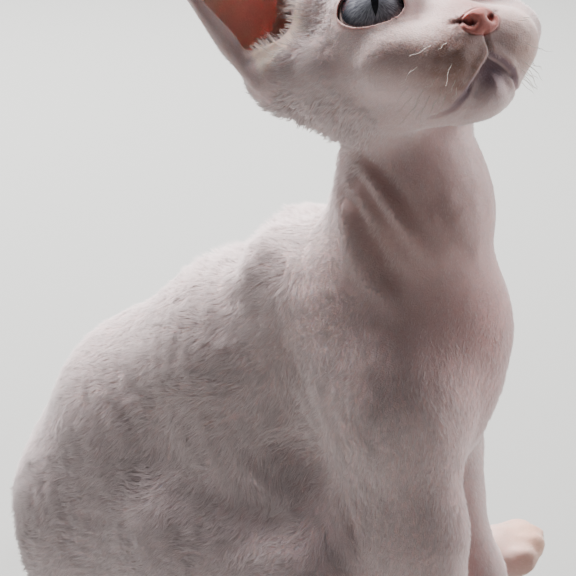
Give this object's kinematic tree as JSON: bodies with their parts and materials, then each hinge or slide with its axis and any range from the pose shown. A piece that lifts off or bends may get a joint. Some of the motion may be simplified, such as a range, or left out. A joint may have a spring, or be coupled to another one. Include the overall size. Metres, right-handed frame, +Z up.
{
  "type": "devon rex kitten model",
  "caption": "Still life-size Devon Rex kitten sitting upright with its head lifted, large low-set ears, folded hind legs and a tail laid on the floor.",
  "frame": {"origin": "on the floor, under the middle of the whole kitten's box", "axes": "+X is the way the chest faces, +Y is the kitten's left side and +Z is up"},
  "size_m": [0.2156, 0.1428, 0.2746],
  "materials": {
    "coat": "very short pinkish white wavy fur over pink skin",
    "ear_skin": "thin pink skin with fine down",
    "eye": "wet blue-grey eye"
  },
  "bodies": {
    "root": {"torso": "coat", "neck": "coat", "head": "coat", "ear_left": "ear_skin", "ear_right": "ear_skin", "eye_left": "eye", "eye_right": "eye", "foreleg_left": "coat", "foreleg_right": "coat", "hind_leg_left": "coat", "hind_leg_right": "coat", "hind_paw_left": "coat", "hind_paw_right": "coat", "tail_root": "coat", "tail_middle": "coat", "tail_tip": "coat"}
  },
  "joints": []
}
